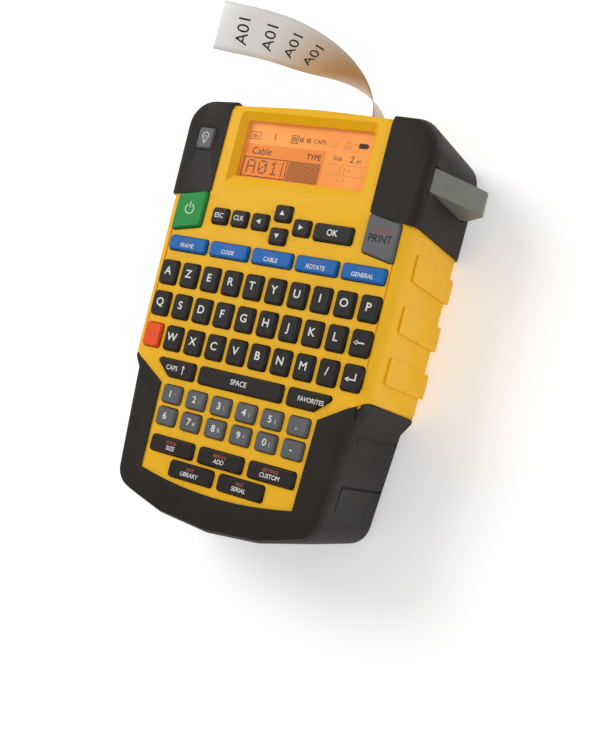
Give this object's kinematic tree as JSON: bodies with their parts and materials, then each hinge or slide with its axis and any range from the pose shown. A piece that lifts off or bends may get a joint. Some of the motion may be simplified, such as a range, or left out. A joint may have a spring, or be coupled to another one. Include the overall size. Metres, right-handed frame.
{
  "type": "label maker",
  "caption": "Handheld industrial label maker with a keypad, lit display, rubber corner guards, a side cutter lever and a printed label leaving its top slot.",
  "frame": {"origin": "on the flat back, under the middle of the case", "axes": "+Z out of the keypad face, +Y from the keypad towards the display end, +X to the user's right"},
  "size_m": [0.1302, 0.207, 0.0865],
  "materials": {
    "yellow_shell": "moulded, fine texture",
    "black_rubber": "soft matt over-mould",
    "window_clear": "clear lens",
    "amber_display": "lit amber",
    "light_guide": "white diffuser",
    "circuit_board": "solder mask",
    "chip_black": "moulded",
    "silicone": "satin",
    "pressed_steel": "satin",
    "ceramic": "smooth",
    "roller_rubber": "ground",
    "gear_plastic": "moulded",
    "brass": "turned",
    "cassette_plastic": "moulded",
    "label_film": "satin film",
    "ribbon_black": "satin film",
    "lever_plastic": "moulded",
    "key_charcoal": "moulded keycap",
    "key_grey": "moulded keycap",
    "key_blue": "moulded keycap",
    "key_green": "moulded keycap",
    "key_orange": "moulded keycap",
    "battery_wrap": "shrink wrap",
    "inlet_black": "moulded"
  },
  "bodies": {
    "root": {"front_case": "yellow_shell", "rear_case": "yellow_shell", "bumper_lower": "black_rubber", "bumper_top_left": "black_rubber", "bumper_top_right": "black_rubber", "display_window": "window_clear", "lcd_panel": "amber_display", "backlight_panel": "light_guide", "main_board": "circuit_board", "board_chips": "chip_black", "keypad_membrane": "silicone", "mechanism_frame": "pressed_steel", "print_head": "ceramic", "feed_motor": "pressed_steel", "cassette_shell": "cassette_plastic", "lever_pin": "pressed_steel", "cutter_spring": "pressed_steel", "door_hinge_pin": "pressed_steel", "batteries": "battery_wrap", "battery_contacts": "pressed_steel", "case_screws": "pressed_steel", "power_inlet": "inlet_black"},
    "platen": {"platen_roller": "roller_rubber", "platen_gear": "gear_plastic"},
    "idler": {"idler_gear": "gear_plastic"},
    "pinion": {"motor_pinion": "brass"},
    "label_roll": {"label_spool": "label_film"},
    "ribbon_supply": {"ribbon_supply_spool": "ribbon_black"},
    "ribbon_takeup": {"ribbon_takeup_spool": "ribbon_black"},
    "label": {"label_strip": "label_film"},
    "lever": {"cutter_lever": "lever_plastic"},
    "blade": {"cutter_blade": "pressed_steel"},
    "door": {"cassette_door": "yellow_shell"},
    "cover": {"battery_cover": "yellow_shell"},
    "press_power": {"key_power": "key_green"},
    "press_print": {"key_print": "key_grey"},
    "press_light": {"key_light": "key_grey"},
    "press_escape": {"key_escape": "key_charcoal"},
    "press_clear": {"key_clear": "key_charcoal"},
    "press_left": {"key_left": "key_charcoal"},
    "press_up": {"key_up": "key_charcoal"},
    "press_down": {"key_down": "key_charcoal"},
    "press_right": {"key_right": "key_charcoal"},
    "press_ok": {"key_ok": "key_charcoal"},
    "press_blue": {"keys_blue": "key_blue"},
    "press_capitals": {"key_capitals": "key_charcoal"},
    "press_space": {"key_space": "key_charcoal"},
    "press_favourites": {"key_favourites": "key_charcoal"},
    "press_alternate": {"key_alternate": "key_orange"},
    "letter_row_1": {"letter_row_1": "key_charcoal"},
    "letter_row_2": {"letter_row_2": "key_charcoal"},
    "letter_row_3": {"letter_row_3": "key_charcoal"},
    "number_row_1": {"number_row_1": "key_grey"},
    "number_row_2": {"number_row_2": "key_grey"},
    "function_row_1": {"function_row_1": "key_charcoal"},
    "function_row_2": {"function_row_2": "key_charcoal"}
  },
  "joints": [
    {"name": "power_press", "type": "slide", "parent": "root", "child": "press_power", "axis": [0, 0, -1], "range_m": [0, 0.0012], "stiffness_N_per_m": 200},
    {"name": "print_press", "type": "slide", "parent": "root", "child": "press_print", "axis": [0, 0, -1], "range_m": [0, 0.0012], "stiffness_N_per_m": 200},
    {"name": "light_press", "type": "slide", "parent": "root", "child": "press_light", "axis": [0, 0, -1], "range_m": [0, 0.0012], "stiffness_N_per_m": 200},
    {"name": "escape_press", "type": "slide", "parent": "root", "child": "press_escape", "axis": [0, 0, -1], "range_m": [0, 0.0012], "stiffness_N_per_m": 200},
    {"name": "clear_press", "type": "slide", "parent": "root", "child": "press_clear", "axis": [0, 0, -1], "range_m": [0, 0.0012], "stiffness_N_per_m": 200},
    {"name": "left_press", "type": "slide", "parent": "root", "child": "press_left", "axis": [0, 0, -1], "range_m": [0, 0.0012], "stiffness_N_per_m": 200},
    {"name": "up_press", "type": "slide", "parent": "root", "child": "press_up", "axis": [0, 0, -1], "range_m": [0, 0.0012], "stiffness_N_per_m": 200},
    {"name": "down_press", "type": "slide", "parent": "root", "child": "press_down", "axis": [0, 0, -1], "range_m": [0, 0.0012], "stiffness_N_per_m": 200},
    {"name": "right_press", "type": "slide", "parent": "root", "child": "press_right", "axis": [0, 0, -1], "range_m": [0, 0.0012], "stiffness_N_per_m": 200},
    {"name": "ok_press", "type": "slide", "parent": "root", "child": "press_ok", "axis": [0, 0, -1], "range_m": [0, 0.0012], "stiffness_N_per_m": 200},
    {"name": "blue_press", "type": "slide", "parent": "root", "child": "press_blue", "axis": [0, 0, -1], "range_m": [0, 0.0012], "stiffness_N_per_m": 200},
    {"name": "capitals_press", "type": "slide", "parent": "root", "child": "press_capitals", "axis": [0, 0, -1], "range_m": [0, 0.0012], "stiffness_N_per_m": 200},
    {"name": "space_press", "type": "slide", "parent": "root", "child": "press_space", "axis": [0, 0, -1], "range_m": [0, 0.0012], "stiffness_N_per_m": 200},
    {"name": "favourites_press", "type": "slide", "parent": "root", "child": "press_favourites", "axis": [0, 0, -1], "range_m": [0, 0.0012], "stiffness_N_per_m": 200},
    {"name": "alternate_press", "type": "slide", "parent": "root", "child": "press_alternate", "axis": [0, 0, -1], "range_m": [0, 0.0012], "stiffness_N_per_m": 200},
    {"name": "letters_1_press", "type": "slide", "parent": "root", "child": "letter_row_1", "axis": [0, 0, -1], "range_m": [0, 0.0012], "stiffness_N_per_m": 200},
    {"name": "letters_2_press", "type": "slide", "parent": "root", "child": "letter_row_2", "axis": [0, 0, -1], "range_m": [0, 0.0012], "stiffness_N_per_m": 200},
    {"name": "letters_3_press", "type": "slide", "parent": "root", "child": "letter_row_3", "axis": [0, 0, -1], "range_m": [0, 0.0012], "stiffness_N_per_m": 200},
    {"name": "numbers_1_press", "type": "slide", "parent": "root", "child": "number_row_1", "axis": [0, 0, -1], "range_m": [0, 0.0012], "stiffness_N_per_m": 200},
    {"name": "numbers_2_press", "type": "slide", "parent": "root", "child": "number_row_2", "axis": [0, 0, -1], "range_m": [0, 0.0012], "stiffness_N_per_m": 200},
    {"name": "functions_1_press", "type": "slide", "parent": "root", "child": "function_row_1", "axis": [0, 0, -1], "range_m": [0, 0.0012], "stiffness_N_per_m": 200},
    {"name": "functions_2_press", "type": "slide", "parent": "root", "child": "function_row_2", "axis": [0, 0, -1], "range_m": [0, 0.0012], "stiffness_N_per_m": 200},
    {"name": "cutter_lever_swing", "type": "hinge", "parent": "root", "child": "lever", "pos_m": [0.053, 0.0649, 0.0495], "axis": [0, 1, 0], "range_deg": [0, 14], "stiffness_Nm_per_rad": 0.4},
    {"name": "cutter_blade_slide", "type": "slide", "parent": "root", "child": "blade", "axis": [-1, 0, 0], "range_m": [0, 0.0065], "deforming": ["cutter_spring"]},
    {"name": "platen_spin", "type": "hinge", "parent": "root", "child": "platen", "pos_m": [0.00725, 0.069, 0], "axis": [0, 0, 1], "continuous": true},
    {"name": "idler_spin", "type": "hinge", "parent": "root", "child": "idler", "pos_m": [0.01943, 0.05448, 0], "axis": [0, 0, 1], "continuous": true},
    {"name": "pinion_spin", "type": "hinge", "parent": "root", "child": "pinion", "pos_m": [0.03073, 0.045, 0], "axis": [0, 0, 1], "continuous": true},
    {"name": "label_roll_spin", "type": "hinge", "parent": "root", "child": "label_roll", "pos_m": [-0.0195, 0.034, 0], "axis": [0, 0, 1], "continuous": true},
    {"name": "ribbon_supply_spin", "type": "hinge", "parent": "root", "child": "ribbon_supply", "pos_m": [0.0067, 0.018, 0], "axis": [0, 0, 1], "continuous": true},
    {"name": "ribbon_takeup_spin", "type": "hinge", "parent": "root", "child": "ribbon_takeup", "pos_m": [0.0067, 0.046, 0], "axis": [0, 0, 1], "continuous": true},
    {"name": "label_feed", "type": "slide", "parent": "root", "child": "label", "axis": [0, 1, 0], "range_m": [0, 0.01]},
    {"name": "cassette_door_hinge", "type": "hinge", "parent": "root", "child": "door", "pos_m": [0, 0.008, 0.0019], "axis": [-1, 0, 0], "range_deg": [0, 100]},
    {"name": "battery_cover_lift", "type": "slide", "parent": "root", "child": "cover", "axis": [0, 0, -1], "range_m": [0, 0.015]}
  ],
  "couplings": [
    {"joint": "cutter_blade_slide", "follows": "cutter_lever_swing", "m_per_rad": 0.0262},
    {"joint": "idler_spin", "follows": "platen_spin", "ratio": -0.8},
    {"joint": "pinion_spin", "follows": "platen_spin", "ratio": 2},
    {"joint": "label_roll_spin", "follows": "platen_spin", "ratio": -0.3056},
    {"joint": "ribbon_supply_spin", "follows": "platen_spin", "ratio": -1.1957},
    {"joint": "ribbon_takeup_spin", "follows": "platen_spin", "ratio": -1.4474}
  ]
}
